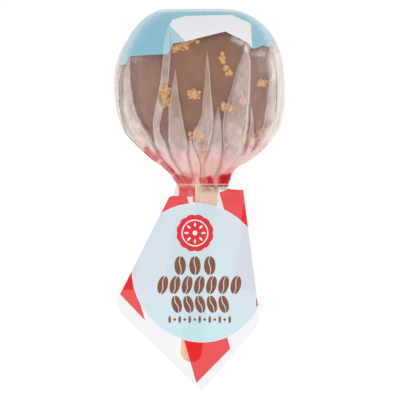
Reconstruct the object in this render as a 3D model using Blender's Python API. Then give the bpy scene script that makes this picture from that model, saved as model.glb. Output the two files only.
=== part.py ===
"""A chocolate caramel apple on a flat wooden stick, bagged in a gathered square of printed clear film.

It lies on its back, as a lolly does when it is put down: the apple's end and the tip of the stick touch
the surface. Everything is laid out first along the lolly: u to the right, v from the stick up to the
apple's flat foot, w towards the front. The lolly is then pitched down by PITCH and set on Z = 0, with
the middle of its bounding box on the Z axis. Lengths are in metres.
"""

import math
import random
from collections import namedtuple

import bmesh
import bpy
import numpy as np
from mathutils import Matrix, Vector

MM = 0.001

# How the lolly lies: the angle of its length below the horizontal.
PITCH = math.radians(18.0)

# The bagged apple. v = 0 is the widest level.
HEAD_HALF_WIDTH = 39.3 * MM
HEAD_CENTRE_U = 0.7 * MM
FOOT_LEVEL = 35.0 * MM
FOOT_REACH = 36.8 * MM
FOOT_POWER = 2.5
BELLY_REACH = 48.0 * MM
FOOT_DIMPLE = 0.8 * MM
FOOT_RING_SHARES = (0.35, 0.7, 0.9)
HEAD_ROWS = 31
SEGMENTS = 84

# The neck, where the film is gathered flat round the stick.
NECK_HALF_WIDTH = 12.2 * MM
NECK_HALF_DEPTH = 3.2 * MM
NECK_CENTRE_U = 2.1 * MM
NECK_LEVEL = -44.6 * MM
NECK_END = -47.9 * MM
NECK_ROUNDNESS = 2.6
WIDTH_SLOPE = 1.18
DEPTH_SLOPE = 1.52
CONE_LEVEL = -42.3 * MM
GATHER_BLEND = 5.0 * MM
# Below this level the section turns from round to the neck's flatter shape, over this length.
FLATTER_START = -25.0 * MM
FLATTER_LENGTH = 20.0 * MM

# The clear tape round the neck.
TAPE_TOP = -45.0 * MM
TAPE_BOTTOM = -47.5 * MM
TAPE_THICKNESS = 0.4 * MM
GAP = 0.3 * MM

# The skirt below the neck: a flattened bell, whose front corner hangs on as a kite.
SKIRT_HALF_DEPTH = 2.75 * MM
SKIRT_FLATNESS = 4.0
SKIRT_ROWS = 10
WALL = 1.0 * MM
LEFT_TOP = Vector((-13.3 * MM, -51.2 * MM))
RIGHT_TOP = Vector((20.5 * MM, -48.5 * MM))
LEFT_CORNER = Vector((-36.9 * MM, -100.0 * MM))
RIGHT_CORNER = Vector((29.0 * MM, -103.0 * MM))
TIP = Vector((1.8 * MM, -140.3 * MM))
LEFT_CUT_SLOPE = 0.98
RIGHT_CUT_SLOPE = 1.19
CORNER_ROUNDING = 60
BACK_HEM = -94.0 * MM
TIP_SEGMENT = 19
TIP_LIFT = 3.2 * MM
LIFT_START = -112.0 * MM
INSET_POWER = 8
HEM_SPACING = 0.85

# The stick, a standard flat one with round ends.
STICK_LENGTH = 114.0 * MM
STICK_WIDTH = 10.0 * MM
STICK_THICKNESS = 2.0 * MM
STICK_END = Vector((-3.6 * MM, -127.0 * MM))
STICK_LEAN = math.radians(5.75)
STICK_EDGE = 0.25 * MM
STICK_ARC_STEPS = 14
POCKET_CLEARANCE = 0.4 * MM
POCKET_ROUNDNESS = 5.0
POCKET_LEVELS = ((39 * MM, 1), (33 * MM, 1), (17 * MM, 1), (STICK_WIDTH / 2, 1), (1 * MM, 0.9), (0, 0.7))

# Knife pleats gather the film from the belly into the neck. Each starts at an apex and widens downwards.
Pleat = namedtuple("Pleat", "angle apex spread")
FRONT_PLEATS = (
    Pleat(27, 14 * MM, 9),
    Pleat(61, 18 * MM, 11),
    Pleat(84, 16 * MM, 7),
    Pleat(110, 8 * MM, 8),
    Pleat(123, 14 * MM, 6),
    Pleat(149, 6 * MM, 10),
)
BACK_PLEATS = 9
BACK_PLEAT_SEED = 7
BACK_PLEAT_APEX = (-4, 16)
BACK_PLEAT_SPREAD = (6, 10)
PLEAT_RISE = 0.8 * MM
PLEAT_EDGE = 3.0
PLEAT_GROWTH = 0.8
PLEAT_START = 0.25
# Pleats are pressed flat over this length above the tape.
PLEAT_PRESSED = 12.0 * MM

# Toffee bits stand under the film as low bumps: place across and along the front, length and width.
Bit = namedtuple("Bit", "u v length width")
FRONT_BITS = (
    Bit(-9.7, 16.6, 6.0, 4.6),
    Bit(-6.0, 19.0, 6.0, 3.2),
    Bit(-14.8, -5.0, 4.8, 8.0),
    Bit(-2.1, -4.4, 5.0, 5.0),
    Bit(10.6, 11.4, 3.2, 5.4),
    Bit(13.8, 6.8, 3.6, 4.6),
    Bit(29.2, 0.8, 3.4, 3.8),
    Bit(12.4, -9.2, 4.6, 4.6),
    Bit(-0.4, -23.4, 5.4, 4.4),
    Bit(26.2, -26.6, 4.2, 4.8),
    Bit(-26.4, -25.4, 6.2, 4.0),
)
BACK_BITS = 12
BACK_BIT_SEED = 3
BACK_BIT_ANGLES = (190, 350)
BACK_BIT_LEVELS = (-22, 20)
BACK_BIT_LENGTHS = (3.4, 5.6)
BACK_BIT_WIDTHS = (0.7, 1.0)
BIT_HEIGHT = 1.5 * MM
BIT_SUNK = 0.35
BIT_ROUGHNESS = 0.16

# The underside is levelled by a cutter below Z = 0.
CUTTER_SIZE = 0.2


def smooth_min(a, b, blend):
    """The smaller of two numbers, rounded off where they are less than blend apart."""
    near = max(blend - abs(a - b), 0.0) / blend
    return min(a, b) - near * near * blend / 4


def smooth_max(a, b, blend):
    return -smooth_min(-a, -b, blend)


def smooth_step(x):
    x = min(max(x, 0.0), 1.0)
    return x * x * (3 - 2 * x)


def belly(v):
    """Half the width of the apple itself at level v, as if it went on round under the film."""
    if v >= 0:
        return HEAD_HALF_WIDTH * (1 - min(v / FOOT_REACH, 1) ** FOOT_POWER) ** (1 / FOOT_POWER)
    return HEAD_HALF_WIDTH * math.sqrt(max(1 - (v / BELLY_REACH) ** 2, 0))


def half_size(v, neck, slope):
    """Half the film's width or depth at level v: the apple, then a cone, then the neck."""
    cone = neck + (v - CONE_LEVEL) * slope
    return smooth_max(neck, smooth_min(belly(v), cone, GATHER_BLEND), GATHER_BLEND / 2)


def centre_u(v):
    """Where the middle of the section lies across the lolly."""
    share = smooth_step(-v / -NECK_LEVEL)
    return HEAD_CENTRE_U + (NECK_CENTRE_U - HEAD_CENTRE_U) * share


def section(angle, half_width, half_depth, roundness):
    """A point of a flattened round section, with angle 0 at the right and 90 degrees at the front."""
    across = math.cos(angle)
    depth = max(1 - abs(across) ** roundness, 0) ** (1 / roundness)
    return half_width * across, math.copysign(half_depth * depth, math.sin(angle))


def all_pleats():
    """The front's pleats, and evenly spaced ones of uneven length round the back."""
    draw = random.Random(BACK_PLEAT_SEED)
    pleats = list(FRONT_PLEATS)
    first, last = FRONT_PLEATS[-1].angle, FRONT_PLEATS[0].angle + 360
    for i in range(BACK_PLEATS):
        angle = first + (last - first) * (i + 1) / (BACK_PLEATS + 1)
        pleats.append(Pleat(angle, draw.uniform(*BACK_PLEAT_APEX) * MM, draw.uniform(*BACK_PLEAT_SPREAD)))
    return pleats


def pleat_rise(angle, v, pleats):
    """How far the film stands out over its round shape, where pleats lie on it."""
    degrees = math.degrees(angle)
    rise = 0.0
    for pleat in pleats:
        grown = (pleat.apex - v) / (pleat.apex - NECK_LEVEL)
        if grown <= 0:
            continue
        half = pleat.spread * min(grown, 1) ** PLEAT_GROWTH
        off = abs((degrees - pleat.angle + 180) % 360 - 180)
        beside = min(max((half - off) / PLEAT_EDGE + 0.5, 0), 1)
        rise = max(rise, beside * min(grown / PLEAT_START, 1))
    flat = smooth_step((v - NECK_LEVEL) / PLEAT_PRESSED)
    return PLEAT_RISE * rise * flat


def angles():
    return [2 * math.pi * i / SEGMENTS for i in range(SEGMENTS)]


def even_levels():
    """Levels from the foot to the neck, evenly spaced along the film's profile."""
    levels = np.linspace(FOOT_LEVEL, NECK_LEVEL, 600)
    widths = np.array([half_size(v, NECK_HALF_WIDTH, WIDTH_SLOPE) for v in levels])
    along = np.concatenate([[0], np.cumsum(np.hypot(np.diff(levels), np.diff(widths)))])
    return np.interp(np.linspace(0, along[-1], HEAD_ROWS), along, levels)


def head_rings(pleats):
    """Rings from the middle of the foot to the neck, where the tape goes."""
    rings = []
    for share in FOOT_RING_SHARES:
        width = half_size(FOOT_LEVEL, NECK_HALF_WIDTH, WIDTH_SLOPE) * share
        level = FOOT_LEVEL - FOOT_DIMPLE * (1 - share)
        rings.append([(HEAD_CENTRE_U + width * math.cos(a), level, width * math.sin(a)) for a in angles()])
    for v in even_levels():
        width = half_size(v, NECK_HALF_WIDTH, WIDTH_SLOPE)
        depth = half_size(v, NECK_HALF_DEPTH, DEPTH_SLOPE)
        flatter = smooth_step((FLATTER_START - v) / FLATTER_LENGTH)
        roundness = 2 + (NECK_ROUNDNESS - 2) * flatter
        ring = []
        for a in angles():
            rise = pleat_rise(a, v, pleats)
            across, out = section(a, width + rise, depth + rise, roundness)
            ring.append((centre_u(v) + across, v, out))
        rings.append(ring)
    return rings


def neck_ring(v):
    """A ring of the neck where the tape lies on it, thinner by the tape and its gap."""
    inset = TAPE_THICKNESS + GAP
    points = []
    for a in angles():
        across, out = section(a, NECK_HALF_WIDTH - inset, NECK_HALF_DEPTH - inset, NECK_ROUNDNESS)
        points.append((NECK_CENTRE_U + across, v, out))
    return points


def hem_point(across):
    """Where the line of the skirt that starts at this share of its width meets the kite's cut edge."""
    tip_share = math.cos(math.radians(360 / SEGMENTS * TIP_SEGMENT))
    if across >= tip_share:
        u = TIP.x + (RIGHT_CORNER.x - TIP.x) * (across - tip_share) / (1 - tip_share)
        cut = TIP.y + (u - TIP.x) * RIGHT_CUT_SLOPE
        corner = RIGHT_CORNER.y
    else:
        u = TIP.x + (LEFT_CORNER.x - TIP.x) * (tip_share - across) / (1 + tip_share)
        cut = TIP.y + (TIP.x - u) * LEFT_CUT_SLOPE
        corner = LEFT_CORNER.y
    rounding = abs(across) ** CORNER_ROUNDING
    return u, cut + (corner - cut) * rounding


def lift(v):
    """The front corner curls away from the stick towards its tip, so that it clears the surface."""
    return TIP_LIFT * smooth_step((LIFT_START - v) / (LIFT_START - TIP.y))


def skirt_ring(share, inset):
    """A ring of the skirt, share of the way from the neck to its hem, inset from its outer face."""
    ring = []
    for a in angles():
        across = math.cos(a)
        side = (1 + across) / 2
        top_u = LEFT_TOP.x + (RIGHT_TOP.x - LEFT_TOP.x) * side
        top_v = LEFT_TOP.y + (RIGHT_TOP.y - LEFT_TOP.y) * side
        hem_u, hem_v = hem_point(across)
        reach = share
        if math.sin(a) < -1e-6:
            reach = share * min((top_v - BACK_HEM) / (top_v - hem_v), 1)
        u = top_u + (hem_u - top_u) * reach
        v = top_v + (hem_v - top_v) * reach
        _, depth = section(a, 1, SKIRT_HALF_DEPTH - inset, SKIRT_FLATNESS)
        ring.append((u - math.copysign(inset, across) * abs(across) ** INSET_POWER, v, depth + lift(v)))
    return ring


def skirt_rings():
    """Down the outside to the hem, then back up the inside."""
    shares = [smooth_share(i / SKIRT_ROWS) for i in range(SKIRT_ROWS + 1)]
    outside = [skirt_ring(share, 0) for share in shares]
    inside = [skirt_ring(share, WALL) for share in shares[:0:-2]]
    return outside + inside


def smooth_share(share):
    """Rows lie closer together towards the hem, where the tip curls."""
    return share ** HEM_SPACING


def stick_centre(v):
    return STICK_END.x + (v - STICK_END.y) * math.tan(STICK_LEAN)


def pocket_rings():
    """The blind pocket round the stick, from below the neck up into the apple."""
    rings = []
    top = STICK_END.y + STICK_LENGTH * math.cos(STICK_LEAN) + POCKET_CLEARANCE
    half_width = STICK_WIDTH / 2 / math.cos(STICK_LEAN) + POCKET_CLEARANCE
    half_depth = STICK_THICKNESS / 2 + POCKET_CLEARANCE
    for below_top, share in POCKET_LEVELS:
        v = top - below_top
        ring = []
        for a in angles():
            across, out = section(a, half_width * share, half_depth, POCKET_ROUNDNESS)
            ring.append((stick_centre(v) + across, v, out))
        rings.append(ring)
    return rings, (stick_centre(top), top, 0)


def closed_skin(name, rings, first_middle, last_middle):
    """One closed body through the rings, with a fan of triangles on the first and on the last."""
    build = bmesh.new()
    rows = [[build.verts.new(point) for point in ring] for ring in rings]
    for here, below in zip(rows, rows[1:]):
        for i in range(SEGMENTS):
            j = (i + 1) % SEGMENTS
            build.faces.new((here[i], below[i], below[j], here[j]))
    for row, point in ((rows[0], first_middle), (rows[-1], last_middle)):
        middle = build.verts.new(point)
        for i in range(SEGMENTS):
            build.faces.new((row[i], row[(i + 1) % SEGMENTS], middle))
    bmesh.ops.triangulate(build, faces=build.faces)
    bmesh.ops.recalc_face_normals(build, faces=build.faces)
    return mesh_object(name, build)


def mesh_object(name, build):
    mesh = bpy.data.meshes.new(name)
    build.to_mesh(mesh)
    build.free()
    made = bpy.data.objects.new(name, mesh)
    bpy.context.scene.collection.objects.link(made)
    return made


def front_surface(u, v, pleats):
    """The point of the film's front at u, v, and the way that it faces."""
    width = half_size(v, NECK_HALF_WIDTH, WIDTH_SLOPE)
    depth = half_size(v, NECK_HALF_DEPTH, DEPTH_SLOPE)
    across = max(min((u - centre_u(v)) / width, 1), -1)
    return surface_point(math.acos(across), v, width, depth, pleats)


def surface_point(angle, v, width, depth, pleats):
    rise = pleat_rise(angle, v, pleats)
    across, out = section(angle, width + rise, depth + rise, 2)
    step = 0.5 * MM
    slope = (half_size(v - step, NECK_HALF_WIDTH, WIDTH_SLOPE) - width) / step
    normal = Vector((math.cos(angle), slope, math.sin(angle))).normalized()
    return Vector((centre_u(v) + across, v, out)), normal


def toffee_bump(where, normal, length, width, draw):
    """A low irregular lump, half sunk in the surface that it sits on."""
    build = bmesh.new()
    bmesh.ops.create_icosphere(build, subdivisions=1, radius=1)
    for vert in build.verts:
        vert.co *= 1 + draw.uniform(-BIT_ROUGHNESS, BIT_ROUGHNESS)
        vert.co = Vector((vert.co.x * length / 2, vert.co.y * width / 2, vert.co.z * BIT_HEIGHT))
    turn = normal.to_track_quat("Z", "Y").to_matrix().to_4x4()
    build.transform(Matrix.Translation(where - normal * BIT_SUNK * BIT_HEIGHT) @ turn)
    return mesh_object("toffee_bump", build)


def toffee_bumps(pleats):
    draw = random.Random(BACK_BIT_SEED)
    bumps = []
    for bit in FRONT_BITS:
        where, normal = front_surface(bit.u * MM, bit.v * MM, pleats)
        bumps.append(toffee_bump(where, normal, bit.length * MM, bit.width * MM, draw))
    first, last = BACK_BIT_ANGLES
    for i in range(BACK_BITS):
        angle = math.radians(first + (last - first) * (i + draw.uniform(0.2, 0.8)) / BACK_BITS)
        v = draw.uniform(*BACK_BIT_LEVELS) * MM
        width = half_size(v, NECK_HALF_WIDTH, WIDTH_SLOPE)
        depth = half_size(v, NECK_HALF_DEPTH, DEPTH_SLOPE)
        where, normal = surface_point(angle, v, width, depth, pleats)
        length = draw.uniform(*BACK_BIT_LENGTHS) * MM
        bumps.append(toffee_bump(where, normal, length, length * draw.uniform(*BACK_BIT_WIDTHS), draw))
    return bumps


def join(target, pieces):
    """Unites the pieces with the target by one Boolean, applies it and removes the pieces."""
    group = bpy.data.collections.new("joined")
    bpy.context.scene.collection.children.link(group)
    for piece in pieces:
        bpy.context.scene.collection.objects.unlink(piece)
        group.objects.link(piece)
    union = target.modifiers.new("union", "BOOLEAN")
    union.operation = "UNION"
    union.operand_type = "COLLECTION"
    union.collection = group
    apply_modifiers(target)
    for piece in pieces:
        bpy.data.objects.remove(piece)
    bpy.data.collections.remove(group)


def apply_modifiers(target):
    graph = bpy.context.evaluated_depsgraph_get()
    flat = bpy.data.meshes.new_from_object(target.evaluated_get(graph))
    target.modifiers.clear()
    old = target.data
    target.data = flat
    bpy.data.meshes.remove(old)


def make_wrap():
    """The film bag with the apple in it, as one solid."""
    pleats = all_pleats()
    rings = head_rings(pleats) + [neck_ring(NECK_LEVEL - GAP), neck_ring(NECK_END)]
    pocket, pocket_end = pocket_rings()
    rings += skirt_rings() + pocket
    wrap = closed_skin("wrap", rings, (HEAD_CENTRE_U, FOOT_LEVEL - FOOT_DIMPLE, 0), pocket_end)
    join(wrap, toffee_bumps(pleats))
    return wrap


def make_stick():
    """A flat stick with round ends and eased edges, lying along the lolly."""
    build = bmesh.new()
    half = STICK_WIDTH / 2
    outline = []
    for end, start in ((STICK_LENGTH - half, 0), (half, 180)):
        for i in range(STICK_ARC_STEPS + 1):
            turn = math.radians(start + 180 * i / STICK_ARC_STEPS)
            outline.append((half * math.cos(turn), end + half * math.sin(turn), -STICK_THICKNESS / 2))
    face = build.faces.new([build.verts.new(point) for point in outline])
    raised = bmesh.ops.extrude_face_region(build, geom=[face])
    top = [part for part in raised["geom"] if isinstance(part, bmesh.types.BMVert)]
    bmesh.ops.translate(build, verts=top, vec=(0, 0, STICK_THICKNESS))
    bmesh.ops.recalc_face_normals(build, faces=build.faces)
    rims = [edge for edge in build.edges if abs(edge.verts[0].co.z - edge.verts[1].co.z) < 1e-7]
    bmesh.ops.bevel(build, geom=rims, offset=STICK_EDGE, segments=2, profile=0.5, affect="EDGES")
    lean = Matrix.Rotation(-STICK_LEAN, 4, "Z")
    build.transform(Matrix.Translation((STICK_END.x, STICK_END.y, 0)) @ lean)
    bmesh.ops.triangulate(build, faces=build.faces)
    return mesh_object("stick", build)


def make_tape():
    """A band of clear tape round the neck, clear of the film by the gap."""
    build = bmesh.new()
    steps = SEGMENTS // 2
    rows = []
    inner = TAPE_THICKNESS
    for inset, v in ((inner, TAPE_BOTTOM), (inner, TAPE_TOP), (0, TAPE_TOP), (0, TAPE_BOTTOM)):
        row = []
        for i in range(steps):
            angle = 2 * math.pi * i / steps
            across, out = section(angle, NECK_HALF_WIDTH - inset, NECK_HALF_DEPTH - inset, NECK_ROUNDNESS)
            row.append(build.verts.new((NECK_CENTRE_U + across, v, out)))
        rows.append(row)
    for k in range(4):
        here, beyond = rows[k], rows[(k + 1) % 4]
        for i in range(steps):
            j = (i + 1) % steps
            build.faces.new((here[i], beyond[i], beyond[j], here[j]))
    bmesh.ops.recalc_face_normals(build, faces=build.faces)
    return mesh_object("tape", build)


def lay_down(pieces):
    """Pitches the lolly onto its back, with the stick's tip on Z = 0 and the box's middle over the origin."""
    pitched = Matrix.Rotation(PITCH, 4, "X")
    for piece in pieces:
        piece.data.transform(pitched)
    corners = {piece.name: box(piece) for piece in pieces}
    floor = corners["stick"][0].z
    low = [min(lowest[i] for lowest, _ in corners.values()) for i in range(2)]
    high = [max(highest[i] for _, highest in corners.values()) for i in range(2)]
    move = Matrix.Translation((-(low[0] + high[0]) / 2, -(low[1] + high[1]) / 2, -floor))
    for piece in pieces:
        piece.data.transform(move)


def box(piece):
    points = np.array([vert.co for vert in piece.data.vertices])
    return Vector(points.min(axis=0)), Vector(points.max(axis=0))


def cut_flat_spot(wrap):
    """Levels the underside of the bag where it rests."""
    build = bmesh.new()
    bmesh.ops.create_cube(build, size=CUTTER_SIZE)
    build.transform(Matrix.Translation((0, 0, -CUTTER_SIZE / 2)))
    cutter = mesh_object("surface_cutter", build)
    cutter.hide_render = True
    cutter.display_type = "WIRE"
    cut = wrap.modifiers.new("flat_spot", "BOOLEAN")
    cut.operation = "DIFFERENCE"
    cut.object = cutter


def colour(piece, name, base, roughness, transmission=0.0):
    material = bpy.data.materials.new(name)
    material.use_nodes = True
    shader = material.node_tree.nodes["Principled BSDF"]
    shader.inputs["Base Color"].default_value = (*base, 1)
    shader.inputs["Roughness"].default_value = roughness
    shader.inputs["Metallic"].default_value = 0
    shader.inputs["Transmission Weight"].default_value = transmission
    piece.data.materials.clear()
    piece.data.materials.append(material)


def clear_scene():
    for existing in list(bpy.data.objects):
        bpy.data.objects.remove(existing)


clear_scene()
wrap = make_wrap()
stick = make_stick()
tape = make_tape()
lay_down([wrap, stick, tape])
cut_flat_spot(wrap)
colour(wrap, "film_over_chocolate", (0.30, 0.17, 0.12), 0.25)
colour(stick, "birch", (0.80, 0.62, 0.42), 0.6)
colour(tape, "clear_tape", (0.92, 0.88, 0.86), 0.2, 0.6)
for piece in (wrap, stick, tape):
    piece.data.shade_smooth()
    piece.data.set_sharp_from_angle(angle=math.radians(35))
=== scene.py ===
import math
import random

import bpy
import numpy as np
from mathutils import Matrix, Vector, noise
from mathutils.bvhtree import BVHTree


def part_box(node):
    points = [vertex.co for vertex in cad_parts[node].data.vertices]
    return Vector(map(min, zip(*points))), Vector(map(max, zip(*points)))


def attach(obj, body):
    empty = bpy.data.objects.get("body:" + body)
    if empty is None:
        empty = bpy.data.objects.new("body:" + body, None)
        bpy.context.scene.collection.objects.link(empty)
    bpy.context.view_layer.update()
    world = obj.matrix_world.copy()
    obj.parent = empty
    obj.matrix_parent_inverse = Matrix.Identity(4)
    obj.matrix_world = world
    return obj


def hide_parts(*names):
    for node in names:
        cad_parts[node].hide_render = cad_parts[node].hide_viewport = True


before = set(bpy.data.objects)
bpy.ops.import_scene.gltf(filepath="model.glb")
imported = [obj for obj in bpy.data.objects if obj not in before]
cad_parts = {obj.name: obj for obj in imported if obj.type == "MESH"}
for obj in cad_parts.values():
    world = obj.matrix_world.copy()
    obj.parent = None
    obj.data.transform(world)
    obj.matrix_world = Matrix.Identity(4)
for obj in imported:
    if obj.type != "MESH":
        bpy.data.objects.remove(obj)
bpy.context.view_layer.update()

# ---- How the lolly lies ----
# It rests on its back, pitched down from the apple to the tip of its stick. Every piece is laid out along
# the lolly in millimetres: u to the right, v from the stick up to the apple's foot, w towards the front.
MM = 0.001
PITCH = math.radians(18.0)
NECK_MIDDLE = Vector((2.1, -46.25, 0))
tape_low, tape_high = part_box("tape")
LAY = (
    Matrix.Translation((tape_low + tape_high) / 2)
    @ Matrix.Rotation(PITCH, 4, "X")
    @ Matrix.Scale(MM, 4)
    @ Matrix.Translation(-NECK_MIDDLE)
)


def laid_piece(name, points, faces, material):
    """A mesh object from points along the lolly, put where the lolly lies, with its faces pointing out."""
    mesh = bpy.data.meshes.new(name)
    mesh.from_pydata([LAY @ Vector(point) for point in points], [], faces)
    mesh.materials.append(material)
    mesh.shade_smooth()
    piece = bpy.data.objects.new(name, mesh)
    bpy.context.scene.collection.objects.link(piece)
    return piece


def smooth_step(x):
    x = min(max(x, 0.0), 1.0)
    return x * x * (3 - 2 * x)


# ---- The apple ----
# A whole small apple, dipped in caramel and in milk chocolate and set down to harden on its top, which
# gave it a flat foot. The coat follows the apple's soft lobes and has the faint ripples of dipping.
APPLE_HALF_WIDTH = 36.6
APPLE_FOOT = 33.6
APPLE_FOOT_REACH = 35.2
APPLE_STEM_REACH = 36.2
APPLE_STEM_POWER = 2.4
FOOT_POWER = 2.5
FOOT_LEVELS = 44
STEM_LEVELS = 66
APPLE_COLUMNS = 150
FOOT_RIM = 1.3
LOBES = 5
LOBE_DEPTH = 0.55
DIP_RIPPLE = 0.35
CHOCOLATE = (138, 91, 67)
CHOCOLATE_DARK = (125, 79, 55)


def display(red, green, blue):
    """The shader's linear colour for a display colour of 0 to 255."""
    parts = [x / 255 for x in (red, green, blue)]
    return tuple(x / 12.92 if x <= 0.04045 else ((x + 0.055) / 1.055) ** 2.4 for x in parts) + (1.0,)


class Signal:
    """What a node puts out. Sums, products and comparisons of it add Math nodes to its tree."""

    def __init__(self, wire, socket):
        self.wire, self.socket = wire, socket

    def beside(self, name):
        """Another output of the same node."""
        return Signal(self.wire, self.socket.node.outputs[name])

    def maths(self, operation, *others):
        return self.wire.maths(operation, self, *others)

    def most(self, *others):
        highest = self
        for other in others:
            highest = highest.maths("MAXIMUM", other)
        return highest

    def ramp(self, start, end, low=0.0, high=1.0):
        """low at start, high at end, and level outside them."""
        span = {"From_Min": start, "From_Max": end, "To_Min": low, "To_Max": high}
        return self.wire.node("ShaderNodeMapRange", Value=self, **span)

    def blend(self, first, second):
        """The first colour where the signal is 0, the second where it is 1."""
        made = self.wire.tree.nodes.new("ShaderNodeMix")
        made.data_type = "RGBA"
        for socket, value in zip((made.inputs[0], made.inputs[6], made.inputs[7]), (self, first, second)):
            self.wire.feed(socket, value)
        return Signal(self.wire, made.outputs[2])

    def speckle(self, scale, detail=3.0, roughness=0.5):
        values = {"Scale": scale, "Detail": detail, "Roughness": roughness}
        return self.wire.node("ShaderNodeTexNoise", "Fac", Vector=self, **values)

    def stretched(self, scale, turn=(0, 0, 0)):
        return self.wire.node("ShaderNodeMapping", Vector=self, Scale=scale, Rotation=turn)

    def bump(self, strength, distance):
        return self.wire.node("ShaderNodeBump", Height=self, Strength=strength, Distance=distance)


def arithmetic(operation, turned=False):
    """A method of Signal for one of Python's signs, or for that sign with its two sides turned round."""
    if turned:
        return lambda self, other: self.wire.maths(operation, other, self)
    return lambda self, other: self.wire.maths(operation, self, other)


for sign, operation in (("add", "ADD"), ("sub", "SUBTRACT"), ("mul", "MULTIPLY"), ("truediv", "DIVIDE")):
    setattr(Signal, f"__{sign}__", arithmetic(operation))
    setattr(Signal, f"__r{sign}__", arithmetic(operation, True))
for sign, operation in (("pow", "POWER"), ("lt", "LESS_THAN"), ("gt", "GREATER_THAN")):
    setattr(Signal, f"__{sign}__", arithmetic(operation))


class Wiring:
    """Adds nodes to one node tree and links them. A value is a number, a colour, a vector or a Signal."""

    def __init__(self, tree):
        self.tree = tree

    def feed(self, socket, value):
        if isinstance(value, Signal):
            self.tree.links.new(value.socket, socket)
        elif socket.type == "RGBA" and len(value) == 3:
            socket.default_value = display(*value)
        else:
            socket.default_value = value

    def fill(self, node, values):
        for name, value in values.items():
            self.feed(node.inputs[name.replace("_", " ")], value)

    def node(self, kind, output=0, settings=(), **values):
        made = self.tree.nodes.new(kind)
        for name, value in dict(settings).items():
            setattr(made, name, value)
        self.fill(made, values)
        return Signal(self, made.outputs[output])

    def maths(self, operation, *values, kind="ShaderNodeMath"):
        made = self.tree.nodes.new(kind)
        made.operation = operation
        for socket, value in zip(made.inputs, values):
            self.feed(socket, value)
        return Signal(self, made.outputs[0])

    def place(self):
        return self.node("ShaderNodeTexCoord", "Object")

    def facing(self):
        return self.node("ShaderNodeLayerWeight", "Facing", Blend=0.5)

    def attribute(self, name):
        return self.node("ShaderNodeAttribute", "Fac", {"attribute_name": name})

    def surface(self, **values):
        """Feeds the Principled shader's sockets and gives back the material."""
        self.fill(self.tree.nodes["Principled BSDF"], values)
        return self.material


def new_material(name, **constants):
    """The wiring of a new material, whose Principled shader gets these plain values."""
    made = bpy.data.materials.new(name)
    made.use_nodes = True
    wire = Wiring(made.node_tree)
    wire.material = made
    wire.surface(**constants)
    return wire


def dome(share, power):
    """How high a dome still is at this share of its reach. A higher power makes it squarer."""
    return max(1 - min(share, 1) ** power, 0) ** (1 / power)


def apple_radius(v):
    """The coated apple's half width at level v."""
    if v >= 0:
        return APPLE_HALF_WIDTH * dome(v / APPLE_FOOT_REACH, FOOT_POWER)
    return APPLE_HALF_WIDTH * dome(-v / APPLE_STEM_REACH, APPLE_STEM_POWER)


def apple_point(angle, v):
    """A point of the coat, with angle 0 at the right and a quarter turn at the front."""
    radius = apple_radius(v)
    lobes = math.cos(LOBES * angle + 0.6) * smooth_step(abs(v) / 34)
    around = Vector((math.cos(angle), v / 36, math.sin(angle)))
    ripple = noise.noise(around * 2.6) * DIP_RIPPLE * 1.6 + noise.noise(around * 9) * DIP_RIPPLE * 0.4
    rim = FOOT_RIM * math.exp(-(((v - APPLE_FOOT + 1.0) / 1.1) ** 2))
    radius = max(radius + lobes * LOBE_DEPTH * (radius / APPLE_HALF_WIDTH) + ripple + rim, 0)
    return Vector((radius * math.cos(angle), v, radius * math.sin(angle)))


def quads(above, below):
    """Faces between two rows of points."""
    return [(a, b, d, c) for a, b, c, d in zip(above, above[1:], below, below[1:])]


def closed(ring):
    return ring + ring[:1]


def grid_faces(rows, columns):
    """Faces of a grid that closes on itself sideways, with its rows from the foot down to the stick."""
    rings = [closed(list(range(j * columns, (j + 1) * columns))) for j in range(rows)]
    return [face for above, below in zip(rings, rings[1:]) for face in quads(above, below)]


def chocolate_material():
    wire = new_material("milk_chocolate", IOR=1.46)
    place = wire.place()
    cloud = place.speckle(55, 4).ramp(0.35, 0.68)
    return wire.surface(
        Base_Color=cloud.blend(CHOCOLATE, CHOCOLATE_DARK),
        Roughness=cloud.ramp(0, 1, 0.36, 0.5),
        Normal=place.speckle(160, 3).bump(0.2, 0.0006),
    )


def make_apple():
    top = math.asin(APPLE_FOOT / APPLE_FOOT_REACH)
    levels = [APPLE_FOOT_REACH * math.sin(top * (1 - i / FOOT_LEVELS)) for i in range(FOOT_LEVELS)]
    levels += [-APPLE_STEM_REACH * math.sin(math.pi / 2 * i / STEM_LEVELS) for i in range(STEM_LEVELS)]
    turns = [2 * math.pi * k / APPLE_COLUMNS for k in range(APPLE_COLUMNS)]
    points = [apple_point(turn, v) for v in levels for turn in turns]
    faces = grid_faces(len(levels), APPLE_COLUMNS)
    foot, stem = len(points), len(points) + 1
    points += [Vector((0, APPLE_FOOT - 0.2, 0)), Vector((0, -APPLE_STEM_REACH, 0))]
    first = closed(list(range(APPLE_COLUMNS)))
    last = closed(list(range(foot - APPLE_COLUMNS, foot)))
    faces += [(foot, after, here) for here, after in zip(first, first[1:])]
    faces += [(stem, here, after) for here, after in zip(last, last[1:])]
    return laid_piece("apple", points, faces, chocolate_material())


apple = make_apple()
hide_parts("wrap")
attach(apple, "root")


# ---- The toffee bits ----
# Crumbs of boiled toffee, golden and glassy inside with a matt sugary skin. They were strewn on the wet
# chocolate and stick out of it, alone or in small clusters.
TOFFEE = (200, 134, 66)
TOFFEE_PALE = (232, 182, 120)
CRUMB_RADIUS = 1.2
CRUMB_ROUGHNESS = 1.2
CRUMBS_FOR_ONE = 3
CRUMB_SEED = 11
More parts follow.
